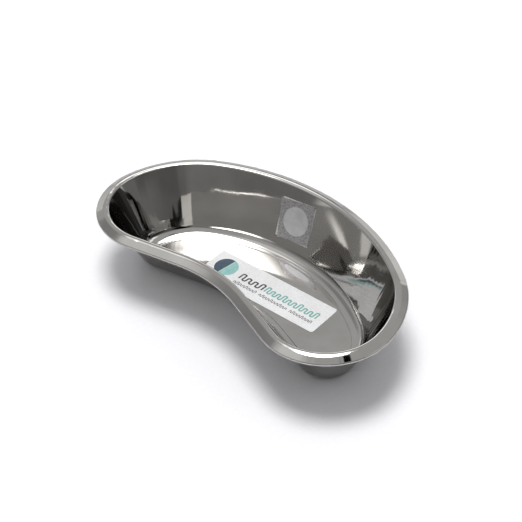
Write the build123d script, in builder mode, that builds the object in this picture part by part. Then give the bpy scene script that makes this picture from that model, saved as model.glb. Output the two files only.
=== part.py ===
from build123d import *
import math
import os

# Kidney dish, 10 inch size, pressed from one stainless sheet, with two stickers inside.
# Millimetres, +Z up, resting on Z = 0, centred on X = 0 and Y = 0 by its overall box.
# +X runs along the dish, +Y is the convex back and -Y the hollow front.

# Plan of the rim's outer edge: tangent arcs, the same on both sides of X = 0
dish_length = 250.0
back_half_angle = 31.6       # half of the long back arc
shoulder_angle = 49.3        # arc that joins the back to the nose
flank_angle = 16.0           # slope of the straight flank beside the hollow front
shoulder_radius = 79.2
nose_radius = 47.3
flank_length = 38.0

# Section of the sheet
dish_height = 46.0
sheet = 0.8
crown_radius = 7.5          # gentle crown over the top of the rim, outside
crown_slope = 26.0           # degrees that the crown falls towards the outer edge
crown_flat = 0.1             # level strip between the crown and the lip
roll_radius = 1.1            # outside radius where the crown rolls over the outer edge
hem_radius = 0.9             # outside radius of the safe edge turned in under the rim
hem_length = 2.2             # how far the safe edge reaches inwards
hem_drop = 4.6               # height of the rolled rim, over all
rim_width = 8.8              # outer edge to the wall, where the wall meets the rim's level
lip_radius = 1.8
wall_draft = 25.2            # degrees from vertical
foot_radius = 9.0            # inside radius between wall and floor
panel_inset = 37.0           # outer edge to the flat floor panel
panel_drop = 0.5             # the panel lies this far below the ring around it
panel_bend = 0.4             # inside radius of the two bends of the step
panel_slope = 45.0           # slope of the shallow step around the panel
panel_margin = 1.0           # strip of the panel that is swept with the wall

# Floor label: printed film on clear adhesive
label_length = 102.0
label_width = 28.2
label_corner = 2.0
label_turn = 6.0
label_centre = (-0.2, 1.0)
label_film = 0.10
label_adhesive = 0.05

# Wall sticker: silver foil on adhesive, on the inside of the back wall
sticker_width = 28.0
sticker_height = 29.0
sticker_corner = 0.8
sticker_turn = 6.5
sticker_bearing = 6.7        # degrees round the back arc from its middle, towards -X
sticker_depth = 23.9         # down the wall from the rim's level to the middle of the sticker
sticker_foil = 0.10
sticker_adhesive = 0.05
sticker_sweep = 12.0         # degrees each side that the blank covers before it is cut square
cutter_reach = 5.0

# Worked out from the dimensions above
half_sheet = sheet / 2
turn_1 = math.radians(back_half_angle)
turn_2 = math.radians(back_half_angle + shoulder_angle)
flank = math.radians(flank_angle)
draft = math.radians(wall_draft)
nose_reach = nose_radius * (1 - math.sin(turn_2))
shoulder_reach = shoulder_radius * (math.sin(turn_2) - math.sin(turn_1))
back_radius = (dish_length / 2 - shoulder_reach - nose_reach) / math.sin(turn_1)
dish_width = (
    back_radius * (1 - math.cos(turn_1))
    + shoulder_radius * (math.cos(turn_1) - math.cos(turn_2))
    + nose_radius * (1 + math.cos(turn_2))
)
back_centre = Vector(0, dish_width / 2 - back_radius)
shoulder_gap = back_radius - shoulder_radius
shoulder_centre = back_centre + Vector(math.sin(turn_1), math.cos(turn_1)) * shoulder_gap
nose_gap = shoulder_radius - nose_radius
nose_centre = shoulder_centre + Vector(math.sin(turn_2), math.cos(turn_2)) * nose_gap
flank_normal = Vector(-math.sin(flank), -math.cos(flank))
flank_run = Vector(-math.cos(flank), math.sin(flank)) * flank_length
flank_end = nose_centre + flank_normal * nose_radius + flank_run
front_radius = flank_end.X / math.sin(flank)
front_centre = flank_end + flank_normal * front_radius


def wall_inset(height):
    """Distance from the rim's outer edge in to the wall's inner face at a height."""
    return rim_width + (dish_height - height) * math.tan(draft)


def outline_half(inset, side):
    """Right (side 1) or left (side -1) half of the plan, moved inwards by inset."""
    reach = nose_radius - inset
    spread = 90 - back_half_angle
    fall = spread - shoulder_angle
    nose_turn = fall + 90 + flank_angle

    def arc(centre, radius, start, size):
        if side < 0:
            start = 180 - start
        return CenterArc((side * centre.X, centre.Y), radius, start, side * size)

    arc(back_centre, back_radius - inset, 90, -back_half_angle)
    arc(shoulder_centre, shoulder_radius - inset, spread, -shoulder_angle)
    arc(nose_centre, reach, fall, -nose_turn)
    start = nose_centre + flank_normal * reach
    end = start + flank_run
    Line((side * start.X, start.Y), (side * end.X, end.Y))
    arc(front_centre, front_radius + inset, 90 - flank_angle, flank_angle)


# The dish: one sheet from the safe edge, over the rim, down the wall to the floor panel
with BuildLine() as rim_edge:
    outline_half(0, 1)
    outline_half(0, -1)

ring_level = panel_drop + half_sheet
top_level = dish_height - half_sheet
half_slope = math.radians(crown_slope / 2)
lip_start = rim_width - lip_radius * math.tan((math.pi / 2 - draft) / 2)
crown_start = lip_start - crown_flat - (crown_radius - half_sheet) * math.tan(half_slope)
edge_level = top_level - (crown_start - half_sheet) * math.tan(math.radians(crown_slope))
hem_level = dish_height - hem_drop + half_sheet
wall_shift = half_sheet / math.cos(draft)
bend_radius = panel_bend + half_sheet
step_end = panel_inset - bend_radius * math.tan(math.radians(panel_slope / 2))
step_start = step_end - panel_drop / math.tan(math.radians(panel_slope))
section_plane = Plane((0, dish_width / 2, 0), x_dir=(0, -1, 0), z_dir=(-1, 0, 0))

with BuildPart() as dish:
    with BuildSketch(section_plane):
        with BuildLine():
            FilletPolyline(
                (hem_length, hem_level),
                (half_sheet, hem_level),
                (half_sheet, edge_level),
                (crown_start, top_level),
                (wall_inset(top_level) - wall_shift, top_level),
                (wall_inset(ring_level) - wall_shift, ring_level),
                (step_start, ring_level),
                (step_end, half_sheet),
                (panel_inset + panel_margin, half_sheet),
                radius=[
                    hem_radius - half_sheet,
                    roll_radius - half_sheet,
                    crown_radius - half_sheet,
                    lip_radius - half_sheet,
                    foot_radius + half_sheet,
                    bend_radius,
                    bend_radius,
                ],
            )
        trace(line_width=sheet)
    sweep(path=rim_edge.wires()[0])
    with BuildSketch():
        with BuildLine():
            outline_half(panel_inset + panel_margin, 1)
            outline_half(panel_inset + panel_margin, -1)
        make_face()
    extrude(amount=sheet)
dish.part.label = "dish"

# Floor label: adhesive, then film, lying on the floor panel
label_plane = Plane((label_centre[0], label_centre[1], sheet)).rotated((0, 0, label_turn))
with BuildPart() as floor_label_adhesive:
    with BuildSketch(label_plane):
        RectangleRounded(label_length, label_width, label_corner)
    extrude(amount=label_adhesive)
floor_label_adhesive.part.label = "floor_label_adhesive"

with BuildPart() as floor_label:
    with BuildSketch(label_plane.offset(label_adhesive)):
        RectangleRounded(label_length, label_width, label_corner)
    extrude(amount=label_film)
floor_label.part.label = "floor_label"

# Wall sticker: thin layers turned about the back arc's centre, cut square to the wall's face
up = Vector(0, 0, 1)


def outwards(bearing):
    """Level direction from the back arc's centre out to the wall, at a bearing in degrees."""
    turn = math.radians(bearing)
    return Vector(-math.sin(turn), math.cos(turn))


def wall_point(depth, off):
    """Radius from the back arc's centre and height of a point off the wall's inner face."""
    radius = back_radius - rim_width - depth * math.sin(draft) - off * math.cos(draft)
    height = dish_height - depth * math.cos(draft) + off * math.sin(draft)
    return radius, height


def sticker_layer(near, far):
    """Layer of the sticker between two distances from the wall's inner face."""
    first = outwards(sticker_bearing - sticker_sweep)
    top = sticker_depth - sticker_height
    bottom = sticker_depth + sticker_height
    middle = outwards(sticker_bearing)
    radius, height = wall_point(sticker_depth, 0)
    square_plane = Plane(
        back_centre + middle * radius + up * height,
        x_dir=middle.cross(up),
        z_dir=up * math.sin(draft) - middle * math.cos(draft),
    )
    with BuildPart() as layer:
        with BuildSketch(Plane(back_centre, x_dir=first, z_dir=first.cross(up))):
            with BuildLine():
                Polyline(
                    wall_point(top, near),
                    wall_point(bottom, near),
                    wall_point(bottom, far),
                    wall_point(top, far),
                    close=True,
                )
            make_face()
        revolve(axis=Axis(back_centre, up), revolution_arc=2 * sticker_sweep)
        with BuildSketch(square_plane.rotated((0, 0, sticker_turn))):
            RectangleRounded(sticker_width, sticker_height, sticker_corner)
        extrude(amount=cutter_reach, both=True, mode=Mode.INTERSECT)
    return layer


wall_sticker_adhesive = sticker_layer(0, sticker_adhesive)
wall_sticker_adhesive.part.label = "wall_sticker_adhesive"

wall_sticker = sticker_layer(sticker_adhesive, sticker_adhesive + sticker_foil)
wall_sticker.part.label = "wall_sticker"

os.makedirs("parts", exist_ok=True)
export_step(dish.part, "parts/dish.step")
export_step(floor_label_adhesive.part, "parts/floor_label_adhesive.step")
export_step(floor_label.part, "parts/floor_label.step")
export_step(wall_sticker_adhesive.part, "parts/wall_sticker_adhesive.step")
export_step(wall_sticker.part, "parts/wall_sticker.step")
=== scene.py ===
import math

import bpy
import numpy as np
from mathutils import Matrix, Vector


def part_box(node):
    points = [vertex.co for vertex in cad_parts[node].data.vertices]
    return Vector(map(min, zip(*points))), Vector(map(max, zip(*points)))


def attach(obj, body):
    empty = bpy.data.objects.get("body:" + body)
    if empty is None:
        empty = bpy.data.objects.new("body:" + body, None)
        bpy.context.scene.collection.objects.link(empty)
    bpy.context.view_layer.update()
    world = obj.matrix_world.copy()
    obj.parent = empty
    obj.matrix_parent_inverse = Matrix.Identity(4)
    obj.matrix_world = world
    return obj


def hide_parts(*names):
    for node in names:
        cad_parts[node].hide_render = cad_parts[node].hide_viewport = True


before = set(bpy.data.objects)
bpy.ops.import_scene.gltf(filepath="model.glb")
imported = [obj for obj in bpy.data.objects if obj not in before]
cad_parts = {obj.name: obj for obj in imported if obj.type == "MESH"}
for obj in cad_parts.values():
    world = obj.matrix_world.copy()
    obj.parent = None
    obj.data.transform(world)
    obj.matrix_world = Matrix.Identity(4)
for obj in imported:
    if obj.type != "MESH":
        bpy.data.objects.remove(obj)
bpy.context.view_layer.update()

# Kidney dish in polished stainless steel, with a printed film label on its floor and a foil
# sticker on its wall. Dimensions are in millimetres and the frame is the CAD model's: +X along the
# dish, +Y to its convex back, +Z up. MM turns millimetres into Blender's metres.
MM = 0.001
dish_low, dish_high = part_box("dish")

# Driving dimensions of the pressing, as in the CAD model
dish_length = (dish_high.x - dish_low.x) / MM
dish_width = (dish_high.y - dish_low.y) / MM
dish_height = dish_high.z / MM
back_half_angle = math.radians(31.6)
shoulder_angle = math.radians(49.3)
flank_angle = math.radians(16.0)
shoulder_radius = 79.2
nose_radius = 47.3
flank_length = 38.0
sheet = 0.8
crown_radius = 7.5
crown_slope = math.radians(26.0)
crown_flat = 0.1
roll_radius = 1.1
hem_radius = 0.9
hem_length = 2.2
hem_drop = 4.6
rim_width = 8.8
lip_radius = 1.8
wall_draft = math.radians(25.2)
foot_radius = 9.0
panel_inset = 37.0
panel_drop = 0.5
panel_bend = 0.4
panel_slope = math.radians(45.0)
panel_margin = 1.0

# Wall sticker and floor label, as in the CAD model
sticker_width = 28.0
sticker_height = 29.0
sticker_turn = math.radians(6.5)
sticker_bearing = math.radians(6.7)
sticker_depth = 23.9
sticker_foil = 0.10
sticker_adhesive = 0.05
label_centre = (-0.2, 1.0)
label_turn = math.radians(6.0)
label_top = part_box("floor_label")[1].z / MM

# Worked out from the dimensions above
half_sheet = sheet / 2
nose_turn = back_half_angle + shoulder_angle
nose_reach = nose_radius * (1 - math.sin(nose_turn))
shoulder_reach = shoulder_radius * (math.sin(nose_turn) - math.sin(back_half_angle))
back_radius = (dish_length / 2 - shoulder_reach - nose_reach) / math.sin(back_half_angle)
back_centre = np.array([0.0, dish_width / 2 - back_radius])
sticker_radius = back_radius - rim_width - sticker_depth * math.sin(wall_draft)
label_to_dish = (
    Matrix.Translation(Vector((*label_centre, label_top)))
    @ Matrix.Rotation(label_turn, 4, "Z")
)


# ---------------------------------------------------------------- small helpers

def direction(angle):
    """Unit vector in the plan at an angle from +X."""
    return np.array([math.cos(angle), math.sin(angle)])


def mesh_object(name, points, faces, normals=None):
    """Object from points in millimetres. Where normals are given it is smooth shaded by them."""
    mesh = bpy.data.meshes.new(name)
    mesh.from_pydata([Vector(p) * MM for p in points], [], faces)
    mesh.update()
    obj = bpy.data.objects.new(name, mesh)
    bpy.context.scene.collection.objects.link(obj)
    if normals is not None:
        for polygon in mesh.polygons:
            polygon.use_smooth = True
        mesh.normals_split_custom_set_from_vertices([Vector(n) for n in normals])
    return obj


def finish_piece(piece, material, replaced=()):
    """Puts a piece on the only body, its material and the CAD nodes it stands for."""
    piece.data.materials.clear()
    piece.data.materials.append(material)
    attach(piece, "root")
    for node in replaced:
        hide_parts(node)


# ---------------------------------------------------------------- the pressed sheet

def arc_stations(centre, radius, start, end, inward, spacing):
    """Plan points along an arc, and the normals there that point into the dish. inward is -1 where
    the arc's centre lies on that side of it, and 1 where it lies on the other."""
    count = max(2, round(abs(end - start) * radius / spacing))
    angles = np.linspace(start, end, count, endpoint=False)
    rays = np.array([direction(a) for a in angles])
    return centre + rays * radius, rays * inward


def outline_stations(spacing):
    """Points and inward normals round the rim's outer edge, clockwise from the middle of the
    back. The half at +X is built and the other half is its mirror image."""
    flank_normal = -direction(math.pi / 2 - flank_angle)
    shoulder_ray = direction(math.pi / 2 - back_half_angle)
    shoulder_centre = back_centre + shoulder_ray * (back_radius - shoulder_radius)
    nose_ray = direction(math.pi / 2 - nose_turn)
    nose_centre = shoulder_centre + nose_ray * (shoulder_radius - nose_radius)
    flank_start = nose_centre + flank_normal * nose_radius
    flank_run = np.array([-math.cos(flank_angle), math.sin(flank_angle)]) * flank_length
    flank_end = flank_start + flank_run
    front_radius = flank_end[0] / math.sin(flank_angle)
    front_centre = flank_end + flank_normal * front_radius
    spread = math.pi / 2 - back_half_angle
    fall = spread - shoulder_angle
    under = -math.pi / 2 - flank_angle
    flank_top = math.pi / 2 - flank_angle
    count = round(flank_length / spacing)
    steps = np.arange(count)[:, None] / count
    parts = [
        arc_stations(back_centre, back_radius, math.pi / 2, spread, -1, spacing),
        arc_stations(shoulder_centre, shoulder_radius, spread, fall, -1, spacing),
        arc_stations(nose_centre, nose_radius, fall, under, -1, spacing),
        (flank_start + flank_run * steps, np.tile(-flank_normal, (count, 1))),
        arc_stations(front_centre, front_radius, flank_top, math.pi / 2, 1, spacing),
    ]
    front_middle = front_centre + np.array([0.0, front_radius])
    points = np.concatenate([p for p, n in parts] + [front_middle[None, :]])
    normals = np.concatenate([n for p, n in parts] + [np.array([[0.0, 1.0]])])
    mirror = np.array([-1.0, 1.0])
    points = np.concatenate([points, points[-2:0:-1] * mirror])
    normals = np.concatenate([normals, normals[-2:0:-1] * mirror])
    return points, normals


def rounded_path(corners, radii, arc_step, run_step):
    """Points and unit tangents along straight runs that arcs of the given radii join."""
    corners = [np.array(c, float) for c in corners]
    arcs = []
    for before, corner, after, radius in zip(corners, corners[1:], corners[2:], radii):
        back = (before - corner) / np.linalg.norm(before - corner)
        ahead = (after - corner) / np.linalg.norm(after - corner)
        half = math.acos(np.clip(back @ ahead, -1, 1)) / 2
        bisector = (back + ahead) / np.linalg.norm(back + ahead)
        centre = corner + bisector * radius / math.sin(half)
        first = corner + back * radius / math.tan(half) - centre
        spin = math.copysign(1, -back[0] * ahead[1] + back[1] * ahead[0])
        arcs.append((centre, first, spin, math.pi - 2 * half))
    points, tangents = [], []
    previous = corners[0]
    for centre, first, spin, turn in arcs:
        start = centre + first
        run = start - previous
        length = np.linalg.norm(run)
        steps = max(1, round(length / run_step))
        for i in range(steps):
            points.append(previous + run * i / steps)
            tangents.append(run / length)
        steps = max(3, math.ceil(turn / arc_step))
        for i in range(steps + 1):
            angle = spin * turn * i / steps
            ray = np.array([
                first[0] * math.cos(angle) - first[1] * math.sin(angle),
                first[0] * math.sin(angle) + first[1] * math.cos(angle),
            ])
            if i < steps:
                points.append(centre + ray)
                tangents.append(spin * np.array([-ray[1], ray[0]]) / np.linalg.norm(ray))
            else:
                previous = centre + ray
    run = corners[-1] - previous
    points += [previous, corners[-1]]
    tangents += [run / np.linalg.norm(run)] * 2
    return np.array(points), np.array(tangents)


def wall_inset(height):
    """Distance from the rim's outer edge in to the wall's inner face at a height."""
    return rim_width + (dish_height - height) * math.tan(wall_draft)


def sheet_section():
    """Section through the sheet as (inset, height) points and normals. It starts in the floor, runs
    along the lower face to the rounded end of the safe edge, and back along the upper face."""
    arc_step = math.radians(6)
    run_step = 2.5
    cap_steps = 6
    ring_level = panel_drop + half_sheet
    top_level = dish_height - half_sheet
    hem_level = dish_height - hem_drop + half_sheet
    wall_shift = half_sheet / math.cos(wall_draft)
    lip_start = rim_width - lip_radius * math.tan((math.pi / 2 - wall_draft) / 2)
    crown_start = lip_start - crown_flat - (crown_radius - half_sheet) * math.tan(crown_slope / 2)
    edge_level = top_level - (crown_start - half_sheet) * math.tan(crown_slope)
    bend = panel_bend + half_sheet
    step_end = panel_inset - bend * math.tan(panel_slope / 2)
    step_start = step_end - panel_drop / math.tan(panel_slope)
    corners = [
        (hem_length, hem_level),
        (half_sheet, hem_level),
        (half_sheet, edge_level),
        (crown_start, top_level),
        (wall_inset(top_level) - wall_shift, top_level),
        (wall_inset(ring_level) - wall_shift, ring_level),
        (step_start, ring_level),
        (step_end, half_sheet),
        (panel_inset + panel_margin, half_sheet),
    ]
    radii = [
        hem_radius - half_sheet,
        roll_radius - half_sheet,
        crown_radius - half_sheet,
        lip_radius - half_sheet,
        foot_radius + half_sheet,
        bend,
        bend,
    ]
    path, tangents = rounded_path(corners, radii, arc_step, run_step)
    left = np.stack([-tangents[:, 1], tangents[:, 0]], axis=1)
    upper = path + left * half_sheet
    lower = path - left * half_sheet
    cap_angles = np.arange(1, cap_steps) * math.pi / cap_steps
    cap_rays = -np.cos(cap_angles)[:, None] * left[0]
    cap_rays = cap_rays - np.sin(cap_angles)[:, None] * tangents[0]
    cap = path[0] + cap_rays * half_sheet
    points = np.concatenate([lower[::-1], cap, upper])
    normals = np.concatenate([-left[::-1], cap_rays, left])
    return points, normals


def make_dish():
    """The whole pressing as one closed skin: the section carried round the outline, and the floor.
    Its "drawn" attribute holds a place round a circle as long as the outline, and a length down
    the sheet, for the grain of the steel."""
    station_spacing = 1.7
    plan, inward = outline_stations(station_spacing)
    section, section_normals = sheet_section()
    stations = len(plan)
    width = len(section)
    points = np.zeros((stations, width, 3))
    normals = np.zeros((stations, width, 3))
    points[:, :, :2] = plan[:, None, :] + inward[:, None, :] * section[None, :, :1]
    points[:, :, 2] = section[None, :, 1]
    normals[:, :, :2] = inward[:, None, :] * section_normals[None, :, :1]
    normals[:, :, 2] = section_normals[None, :, 1]
    faces = []
    for i in range(stations):
        here = i * width
        there = (i + 1) % stations * width
        for j in range(width - 1):
            faces.append((here + j, here + j + 1, there + j + 1, there + j))
    faces.append([i * width for i in range(stations)])
    faces.append([i * width + width - 1 for i in reversed(range(stations))])
    dish = mesh_object("dish_sheet", points.reshape(-1, 3), faces, normals.reshape(-1, 3))
    strides = np.linalg.norm(np.roll(plan, -1, axis=0) - plan, axis=1)
    loop_radius = strides.sum() / (2 * math.pi)
    along = np.concatenate([[0.0], np.cumsum(strides)[:-1]]) / loop_radius
    rises = np.linalg.norm(np.diff(section, axis=0), axis=1)
    down = np.concatenate([[0.0], np.cumsum(rises)])
    drawn = np.zeros((stations, width, 3))
    drawn[:, :, 0] = (np.cos(along) * loop_radius)[:, None]
    drawn[:, :, 1] = (np.sin(along) * loop_radius)[:, None]
    drawn[:, :, 2] = down[None, :]
    attribute = dish.data.attributes.new("drawn", "FLOAT_VECTOR", "POINT")
    attribute.data.foreach_set("vector", (drawn * MM).ravel())
    return dish


# ---------------------------------------------------------------- wall sticker

def make_sticker():
    """Foil square that follows the wall, with pinked edges, slightly lifted corners and a pressed
    round field in its middle."""
    cells = 84
    tooth_pitch = 1.0
    tooth_depth = 0.30
    tooth_reach = 15
    ring_radius = 10.6
    ring_width = 0.45
    ring_lift = 0.10
    field_radius = 9.6
    field_edge = 0.25
    field_lift = 0.05
    corner_reach = 8
    corner_lift = 0.45
    edge_reach = 12
    edge_lift = 0.06
    ripple_lift = 0.03
    grid = np.linspace(-1, 1, cells + 1)
    across, up = np.meshgrid(grid, grid, indexing="ij")
    x = across * sticker_width / 2
    y = up * sticker_height / 2
    tooth_x = np.abs((y / tooth_pitch) % 1 - 0.5) * 2 * tooth_depth
    tooth_y = np.abs((x / tooth_pitch) % 1 - 0.5) * 2 * tooth_depth
    x = x - across ** tooth_reach * tooth_x
    y = y - up ** tooth_reach * tooth_y
    reach = np.hypot(x, y)
    ring = np.exp(-((reach - ring_radius) / ring_width) ** 2)
    field = 1 / (1 + np.exp((reach - field_radius) / field_edge))
    uneven_corner = 0.6 + 0.4 * np.sin(5 * across + 3 * up)
    corner = (across * up) ** corner_reach * uneven_corner
    ripple = ripple_lift * (np.sin(1.7 * y + 2 * x) + np.sin(2.3 * x - y))
    edge = np.maximum(np.abs(across), np.abs(up)) ** edge_reach
    lift = ring_lift * ring + field_lift * field + corner_lift * corner
    lift = lift + edge * (edge_lift + ripple)
    plane_x = x * math.cos(sticker_turn) - y * math.sin(sticker_turn)
    plane_y = x * math.sin(sticker_turn) + y * math.cos(sticker_turn)
    bearing = sticker_bearing - np.arcsin(plane_x / sticker_radius)
    sag = sticker_radius * (1 - np.cos(bearing - sticker_bearing)) * math.sin(wall_draft)
    depth = sticker_depth - plane_y - sag
    points = []
    for layer in (sticker_adhesive, sticker_adhesive + sticker_foil):
        off = layer + lift
        radius = back_radius - rim_width - depth * math.sin(wall_draft)
        radius = radius - off * math.cos(wall_draft)
        height = dish_height - depth * math.cos(wall_draft) + off * math.sin(wall_draft)
        points.append(np.stack([
            back_centre[0] - np.sin(bearing) * radius,
            back_centre[1] + np.cos(bearing) * radius,
            height,
        ], axis=-1).reshape(-1, 3))
    count = (cells + 1) ** 2
    index = np.arange(count).reshape(cells + 1, cells + 1)
    faces = []
    for i in range(cells):
        for j in range(cells):
            quad = [index[i, j], index[i + 1, j], index[i + 1, j + 1], index[i, j + 1]]
            faces.append([int(v) + count for v in quad])
            faces.append([int(v) for v in reversed(quad)])
    rim = list(index[:-1, 0]) + list(index[-1, :-1])
    rim += list(index[:0:-1, -1]) + list(index[0, :0:-1])
    for a, b in zip(rim, rim[1:] + rim[:1]):
        faces.append([int(a), int(b), int(b) + count, int(a) + count])
    sticker = mesh_object("sticker_foil", np.concatenate(points), faces)
    for polygon in sticker.data.polygons[:2 * cells * cells]:
        polygon.use_smooth = True
    return sticker


# ---------------------------------------------------------------- print on the floor label

def rounded_line(corners, reach):
    """Points of a line in the plan. Each corner becomes a short curve from a reach before it to a
    reach past it."""
    arc_steps = 6
    corners = [np.array(c, float) for c in corners]
    points = [corners[0]]
    for before, corner, after in zip(corners, corners[1:], corners[2:]):
        back = (before - corner) / np.linalg.norm(before - corner)
        ahead = (after - corner) / np.linalg.norm(after - corner)
        for i in range(arc_steps + 1):
            t = i / arc_steps
            points.append(corner + back * reach * (1 - t) ** 2 + ahead * reach * t ** 2)
    points.append(corners[-1])
    return points


def stroke_sides(points, width):
    """Left and right edges of a pen stroke along points, mitred at each point. A sharp bend gets
    no more than twice the stroke's width."""
    least_cosine = 0.5
    left, right = [], []
    for i, point in enumerate(points):
        ahead = points[min(i + 1, len(points) - 1)] - point
        behind = point - points[max(i - 1, 0)]
        units = [v / np.linalg.norm(v) for v in (ahead, behind) if np.linalg.norm(v) > 0]
        tangent = sum(units) / np.linalg.norm(sum(units))
        normal = np.array([-tangent[1], tangent[0]])
        mitre = width / 2 / max(least_cosine, abs(tangent @ units[0]))
        left.append(point + normal * mitre)
        right.append(point - normal * mitre)
    return left, right


def ink_piece(name, shapes):
    """Thin ink on the label's upper face: one closed prism for each shape, given by its two
    edges."""
    ink_thickness = 0.02
    points, faces = [], []
    for left, right in shapes:
        size = len(left)
        low_left = len(points)
        low_right = low_left + size
        top_left = low_right + size
        top_right = top_left + size
        for height in (0.0, ink_thickness):
            points += [label_to_dish @ Vector((p[0], p[1], height)) for p in left + right]
        for i in range(size - 1):
            j = i + 1
            faces.append([top_left + j, top_left + i, top_right + i, top_right + j])
            faces.append([low_left + i, low_left + j, low_right + j, low_right + i])
            faces.append([top_left + i, top_left + j, low_left + j, low_left + i])
            faces.append([top_right + j, top_right + i, low_right + i, low_right + j])
        last = size - 1
        faces.append([top_right, top_left, low_left, low_right])
        faces.append([top_left + last, top_right + last, low_right + last, low_left + last])
    return mesh_object(name, points, faces)


def meander(start, end, base, heights, pitch, weight):
    """Edges of a running key pattern between two places along the label. Its teeth take the
    heights in turn."""
    slant = 0.10
    count = max(1, round((end - start) / pitch))
    step = (end - start - weight) / (count - 0.5)
    corners = []
    for i in range(count):
        left = start + step * i + weight / 2
        right = left + step / 2
        top = base + heights[i % len(heights)]
        lean = slant * heights[i % len(heights)]
        corners += [(left, base), (left + lean, top), (right + lean, top), (right, base)]
    return stroke_sides(rounded_line(corners, weight), weight)


def half_disc(centre, radius, middle, cut):
    """Edges of a half disc that faces an angle and is moved that way by cut: its straight side
    and its arc."""
    arc_points = 33
    ahead = direction(middle)
    aside = direction(middle + math.pi / 2)
    base = np.array(centre) + ahead * cut
    angles = np.linspace(-math.pi / 2, math.pi / 2, arc_points)
    arc = [base + (ahead * math.cos(a) + aside * math.sin(a)) * radius for a in angles]
    side = [base + aside * math.sin(a) * radius for a in angles]
    return side, arc


def make_print():
    """Badge and rows of key pattern, in the places where such a label carries its print."""
    row_base = -2.3
    row_heights = (5.6, 4.2, 4.2)
    small_base = -7.6
    small_heights = (1.7, 2.3, 1.7)
    badge_centre = (-37.6, 1.4)
    badge_radius = 8.6
    badge_gap = 0.15
    navy_side = math.radians(170)
    teal_side = navy_side - math.pi
    row_start = -24.0
    row_end = 44.4
    black_end = -2.6
    teal_start = -1.2
    black_pitch = 5.1
    black_weight = 1.25
    teal_pitch = 4.7
    teal_weight = 1.15
    small_pitch = 2.4
    small_weight = 0.5
    small_runs = ((row_start, -4.2), (-1.6, 22.8), (25.4, row_end))
    pieces = {
        "print_badge_navy": [half_disc(badge_centre, badge_radius, navy_side, badge_gap)],
        "print_badge_teal": [half_disc(badge_centre, badge_radius, teal_side, badge_gap)],
        "print_row_black": [
            meander(row_start, black_end, row_base, row_heights, black_pitch, black_weight),
        ],
        "print_row_teal": [
            meander(teal_start, row_end, row_base, row_heights, teal_pitch, teal_weight),
        ],
        "print_row_grey": [
            meander(start, end, small_base, small_heights, small_pitch, small_weight)
            for start, end in small_runs
        ],
    }
    return {name: ink_piece(name, shapes) for name, shapes in pieces.items()}


# ---------------------------------------------------------------- materials

def new_material(name):
    """New material, with its nodes, its links and its Principled shader."""
    material = bpy.data.materials.new(name)
    material.use_nodes = True
    nodes = material.node_tree.nodes
    links = material.node_tree.links
    return material, nodes, links, nodes["Principled BSDF"]


def noise(nodes, links, scale, detail, stretch=(1.0, 1.0, 1.0), attribute=""):
    """Noise in the object's own metres, or in an attribute's, stretched along the axes."""
    if attribute:
        source = nodes.new("ShaderNodeAttribute")
        source.attribute_name = attribute
        vector = source.outputs["Vector"]
    else:
        vector = nodes.new("ShaderNodeTexCoord").outputs["Object"]
    mapping = nodes.new("ShaderNodeMapping")
    mapping.inputs["Scale"].default_value = stretch
    links.new(vector, mapping.inputs["Vector"])
    texture = nodes.new("ShaderNodeTexNoise")
    texture.inputs["Scale"].default_value = scale
    texture.inputs["Detail"].default_value = detail
    links.new(mapping.outputs["Vector"], texture.inputs["Vector"])
    return texture.outputs["Fac"]


def product(nodes, links, first, second):
    """Two values multiplied."""
    node = nodes.new("ShaderNodeMath")
    node.operation = "MULTIPLY"
    links.new(first, node.inputs[0])
    links.new(second, node.inputs[1])
    return node.outputs["Value"]


def smooth_step(nodes, links, source, start, end):
    """Smooth rise from 0 to 1 as the source goes from start to end. The end may be the lower."""
    node = nodes.new("ShaderNodeMapRange")
    node.interpolation_type = "SMOOTHSTEP"
    node.inputs["From Min"].default_value = start
    node.inputs["From Max"].default_value = end
    links.new(source, node.inputs["Value"])
    return node.outputs["Result"]


def ramp(nodes, links, source, low, high):
    """Colour or grey between two values, over the middle part of a noise."""
    start = 0.35
    end = 0.65
    node = nodes.new("ShaderNodeValToRGB")
    node.color_ramp.elements[0].position = start
    node.color_ramp.elements[1].position = end
    for element, value in zip(node.color_ramp.elements, (low, high)):
        colour = value if isinstance(value, tuple) else (value, value, value)
        element.color = (*colour, 1)
    links.new(source, node.inputs["Fac"])
    return node.outputs["Color"]


def bump(nodes, links, source, distance, previous=None):
    """Bump of a real height in metres, over a previous one where given."""
    node = nodes.new("ShaderNodeBump")
    node.inputs["Strength"].default_value = 1.0
    node.inputs["Distance"].default_value = distance
    links.new(source, node.inputs["Height"])
    if previous is not None:
        links.new(previous, node.inputs["Normal"])
    return node.outputs["Normal"]


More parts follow.
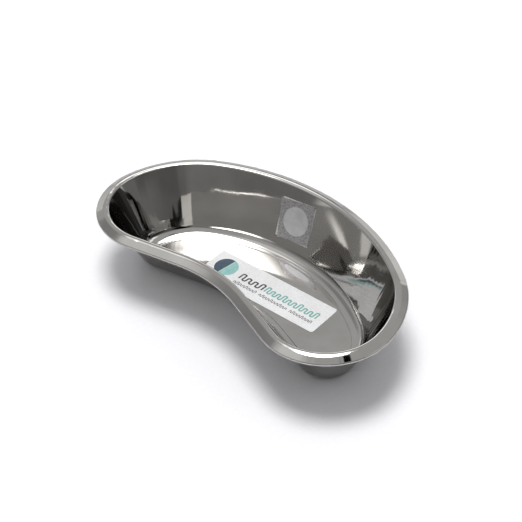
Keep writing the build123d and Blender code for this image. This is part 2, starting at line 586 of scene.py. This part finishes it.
def steel():
    """Polished stainless steel. The walls keep the unevenness of the pressing, most at both ends,
    where the sheet was gathered: low waves, and ripples that run down the wall. The floor is
    flatter. The tint at grazing angles keeps the rim's turned edge grey."""
    dull = (0.49, 0.48, 0.465)
    clean = (0.54, 0.53, 0.515)
    grazing_tint = (0.6, 0.6, 0.6, 1)
    swell_height = 0.03 * MM
    wave_height = 0.8 * MM
    ripple_height = 0.22 * MM
    line_height = 0.002 * MM
    short_streaks = (1.0, 1.0, 0.6)
    long_streaks = (1.0, 1.0, 0.10)
    polish_streaks = (1.0, 1.0, 0.12)
    end_from = 35 * MM
    end_to = 80 * MM
    foot_from = 2 * MM
    foot_to = 12 * MM
    material, nodes, links, shader = new_material("polished_steel")
    shader.inputs["Metallic"].default_value = 1.0
    shader.inputs["Specular Tint"].default_value = grazing_tint
    smudges = noise(nodes, links, scale=45.0, detail=4.0)
    links.new(ramp(nodes, links, smudges, dull, clean), shader.inputs["Base Color"])
    links.new(ramp(nodes, links, smudges, 0.045, 0.07), shader.inputs["Roughness"])
    place = nodes.new("ShaderNodeTexCoord")
    axes = nodes.new("ShaderNodeSeparateXYZ")
    links.new(place.outputs["Object"], axes.inputs[0])
    side = nodes.new("ShaderNodeMath")
    side.operation = "ABSOLUTE"
    links.new(axes.outputs["X"], side.inputs[0])
    ends = smooth_step(nodes, links, side.outputs["Value"], end_from, end_to)
    wall = smooth_step(nodes, links, axes.outputs["Z"], foot_from, foot_to)
    gathered = product(nodes, links, wall, ends)
    swells = noise(nodes, links, scale=30.0, detail=1.0)
    waves = noise(nodes, links, 32.0, 1.0, short_streaks, "drawn")
    ripples = noise(nodes, links, 120.0, 1.0, long_streaks, "drawn")
    lines = noise(nodes, links, 900.0, 2.0, polish_streaks)
    waves = product(nodes, links, waves, gathered)
    ripples = product(nodes, links, ripples, gathered)
    uneven = bump(nodes, links, swells, swell_height)
    uneven = bump(nodes, links, waves, wave_height, uneven)
    uneven = bump(nodes, links, ripples, ripple_height, uneven)
    uneven = bump(nodes, links, lines, line_height, uneven)
    links.new(uneven, shader.inputs["Normal"])
    return material


def foil():
    """Silver foil: a brighter round field in a darker pressed border, both with a fine grain."""
    field_low = (0.64, 0.64, 0.67)
    field_high = (0.74, 0.74, 0.77)
    border_low = (0.30, 0.29, 0.305)
    border_high = (0.55, 0.54, 0.56)
    field_radius = 10.0 * MM
    border_radius = 10.8 * MM
    grain_height = 0.06 * MM
    material, nodes, links, shader = new_material("silver_foil")
    shader.inputs["Metallic"].default_value = 0.7
    coordinates = nodes.new("ShaderNodeTexCoord")
    reach = nodes.new("ShaderNodeVectorMath")
    reach.operation = "DISTANCE"
    reach.inputs[1].default_value = Vector((
        back_centre[0] - math.sin(sticker_bearing) * sticker_radius,
        back_centre[1] + math.cos(sticker_bearing) * sticker_radius,
        dish_height - sticker_depth * math.cos(wall_draft),
    )) * MM
    links.new(coordinates.outputs["Object"], reach.inputs[0])
    outside = smooth_step(nodes, links, reach.outputs["Value"], field_radius, border_radius)
    grain = noise(nodes, links, scale=900.0, detail=3.0)
    cloud = noise(nodes, links, scale=160.0, detail=3.0)
    mix = nodes.new("ShaderNodeMix")
    mix.data_type = "RGBA"
    links.new(outside, mix.inputs["Factor"])
    links.new(ramp(nodes, links, cloud, field_low, field_high), mix.inputs["A"])
    links.new(ramp(nodes, links, grain, border_low, border_high), mix.inputs["B"])
    links.new(mix.outputs["Result"], shader.inputs["Base Color"])
    links.new(ramp(nodes, links, cloud, 0.36, 0.50), shader.inputs["Roughness"])
    links.new(bump(nodes, links, grain, grain_height), shader.inputs["Normal"])
    return material


def film():
    """White printed film, satin, with a faint grain."""
    shaded = (0.64, 0.645, 0.66)
    white = (0.68, 0.685, 0.70)
    grain_height = 0.004 * MM
    material, nodes, links, shader = new_material("label_film")
    grain = noise(nodes, links, scale=800.0, detail=3.0)
    cloud = noise(nodes, links, scale=60.0, detail=3.0)
    links.new(ramp(nodes, links, cloud, shaded, white), shader.inputs["Base Color"])
    links.new(ramp(nodes, links, grain, 0.24, 0.32), shader.inputs["Roughness"])
    links.new(bump(nodes, links, grain, grain_height), shader.inputs["Normal"])
    return material


def glue():
    """Clear adhesive, seen only as a thin edge."""
    dull = (0.62, 0.61, 0.58)
    clear = (0.72, 0.71, 0.68)
    material, nodes, links, shader = new_material("clear_adhesive")
    cloud = noise(nodes, links, scale=200.0, detail=3.0)
    links.new(ramp(nodes, links, cloud, dull, clear), shader.inputs["Base Color"])
    shader.inputs["Roughness"].default_value = 0.3
    return material


def ink(name, dark, light):
    """Printed ink with a slight unevenness."""
    material, nodes, links, shader = new_material(name)
    cloud = noise(nodes, links, scale=500.0, detail=3.0)
    links.new(ramp(nodes, links, cloud, dark, light), shader.inputs["Base Color"])
    links.new(ramp(nodes, links, cloud, 0.34, 0.44), shader.inputs["Roughness"])
    return material


# ---------------------------------------------------------------- the object

finish_piece(make_dish(), steel(), ["dish"])
finish_piece(make_sticker(), foil(), ["wall_sticker"])
inks = {
    "print_badge_navy": ink("ink_navy", (0.018, 0.045, 0.075), (0.03, 0.065, 0.10)),
    "print_badge_teal": ink("ink_light_teal", (0.20, 0.42, 0.40), (0.26, 0.48, 0.46)),
    "print_row_black": ink("ink_black", (0.012, 0.014, 0.02), (0.025, 0.028, 0.034)),
    "print_row_teal": ink("ink_teal", (0.10, 0.30, 0.27), (0.14, 0.36, 0.33)),
    "print_row_grey": ink("ink_grey", (0.02, 0.02, 0.025), (0.04, 0.04, 0.05)),
}
for name, piece in make_print().items():
    finish_piece(piece, inks[name])

adhesive_material = glue()
for node, material in (
    ("floor_label", film()),
    ("floor_label_adhesive", adhesive_material),
    ("wall_sticker_adhesive", adhesive_material),
):
    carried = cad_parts[node]
    carried.data.materials.clear()
    carried.data.materials.append(material)


# ---------------------------------------------------------------- floor, light and camera

def make_floor():
    """Pale paper that the dish stands on."""
    half = 1600.0
    shaded = (0.86, 0.865, 0.90)
    white = (0.88, 0.885, 0.92)
    points = [(-half, -half, 0), (half, -half, 0), (half, half, 0), (-half, half, 0)]
    floor = mesh_object("studio_floor", points, [(0, 1, 2, 3)])
    material, nodes, links, shader = new_material("pale_floor")
    paper = noise(nodes, links, scale=400.0, detail=3.0)
    links.new(ramp(nodes, links, paper, shaded, white), shader.inputs["Base Color"])
    shader.inputs["Roughness"].default_value = 0.7
    floor.data.materials.append(material)


def blend(nodes, links, factor, value, target):
    """Value moved to the target brightness where the factor is 1."""
    node = nodes.new("ShaderNodeMix")
    node.data_type = "FLOAT"
    links.new(factor, node.inputs["Factor"])
    links.new(value, node.inputs["A"])
    node.inputs["B"].default_value = target
    return node.outputs["Result"]


def sky_patch(nodes, links, coordinates, name, azimuth, elevation, inner, outer):
    """1 inside a round patch of the sky and 0 outside, with a smooth edge, from its azimuth,
    elevation, inner radius and outer radius in degrees."""
    azimuth = math.radians(azimuth)
    elevation = math.radians(elevation)
    facing = nodes.new("ShaderNodeVectorMath")
    facing.operation = "DOT_PRODUCT"
    facing.label = name
    facing.inputs[1].default_value = (
        math.sin(azimuth) * math.cos(elevation),
        math.cos(azimuth) * math.cos(elevation),
        math.sin(elevation),
    )
    links.new(coordinates.outputs["Generated"], facing.inputs[0])
    low = math.cos(math.radians(outer))
    high = math.cos(math.radians(inner))
    return smooth_step(nodes, links, facing.outputs["Value"], low, high)


def make_world():
    """Studio surroundings: a grey room, with round panels in it, then two skirtings round its foot,
    then two cards in front of those. A later one covers an earlier one. Panels and cards are given
    by azimuth from +Y towards +X, elevation, inner and outer radius in degrees, and brightness, and
    skirtings by the elevations between which they end, and brightness."""
    room = 0.55
    tone = (1.0, 0.995, 0.985, 1)
    panels = [
        ("dark_front", 150, 10, 20, 42, 0.24),
        ("dark_side", 98, 14, 16, 36, 0.13),
        ("dark_end", 70, 17, 10, 26, 0.03),
        ("dark_bar", 118, 30, 8, 15, 0.0),
        ("dark_corner", -150, 0, 20, 45, 0.25),
        ("dark_back", 20, 0, 20, 40, 0.20),
        ("ceiling_glow", -126, 66, 4, 18, 0.9),
        ("left_gap", -100, 40, 3, 18, 0.33),
        ("side_strip", 42, 44, 5, 10, 1.5),
        ("side_strip_end", 62, 43, 5, 10, 1.5),
        ("back_window", -50, 25, 8, 14, 2.2),
        ("overhead_spill", -66, 66, 8, 13, 1.5),
        ("overhead_end", -50, 70, 9, 13, 5.0),
        ("overhead_box", -62, 77, 8, 16, 14.0),
        ("right_stand", 62, 76, 2, 4, 0.0),
    ]
    skirtings = [
        ("dark_gap", 8.0, 12.0, 0.2),
        ("lit_foot", 1.5, 3.0, 0.75),
    ]
    cards = [
        ("right_card", -19, 8, 11, 14, 1.0),
        ("left_card", -76, 11, 10, 14, 0.9),
    ]
    world = bpy.data.worlds.new("studio")
    bpy.context.scene.world = world
    world.use_nodes = True
    nodes = world.node_tree.nodes
    links = world.node_tree.links
    coordinates = nodes.new("ShaderNodeTexCoord")
    level = nodes.new("ShaderNodeValue")
    level.outputs[0].default_value = room
    value = level.outputs[0]
    for name, *place, brightness in panels:
        patch = sky_patch(nodes, links, coordinates, name, *place)
        value = blend(nodes, links, patch, value, brightness)
    axes = nodes.new("ShaderNodeSeparateXYZ")
    links.new(coordinates.outputs["Generated"], axes.inputs[0])
    for name, low, high, brightness in skirtings:
        top = math.sin(math.radians(high))
        bottom = math.sin(math.radians(low))
        foot = smooth_step(nodes, links, axes.outputs["Z"], top, bottom)
        value = blend(nodes, links, foot, value, brightness)
    for name, *place, brightness in cards:
        patch = sky_patch(nodes, links, coordinates, name, *place)
        value = blend(nodes, links, patch, value, brightness)
    links.new(value, nodes["Background"].inputs["Strength"])
    nodes["Background"].inputs["Color"].default_value = tone


def make_camera():
    """Long lens above the front right of the dish, a little rolled, turned to a place on the
    floor."""
    lens = 116.817
    sensor_width = 36.0
    view_limit = 20.0
    azimuth = math.radians(47.342)
    elevation = math.radians(40.852)
    roll = math.radians(-2.27)
    target = Vector((-25.664, 20.362, 0.0))
    distance = 1187.445
    camera = bpy.data.cameras.new("camera")
    camera.lens = lens
    camera.sensor_width = sensor_width
    camera.clip_end = view_limit
    obj = bpy.data.objects.new("camera", camera)
    bpy.context.scene.collection.objects.link(obj)
    back = Vector((
        math.sin(azimuth) * math.cos(elevation),
        -math.cos(azimuth) * math.cos(elevation),
        math.sin(elevation),
    ))
    level = Vector((0, 0, 1)).cross(back).normalized()
    upright = back.cross(level)
    right = level * math.cos(roll) + upright * math.sin(roll)
    top = upright * math.cos(roll) - level * math.sin(roll)
    place = (target + back * distance) * MM
    turn = Matrix((right, top, back)).transposed().to_4x4()
    obj.matrix_world = Matrix.Translation(place) @ turn
    bpy.context.scene.camera = obj


make_floor()
make_world()
make_camera()
bpy.context.scene.view_settings.view_transform = "Standard"
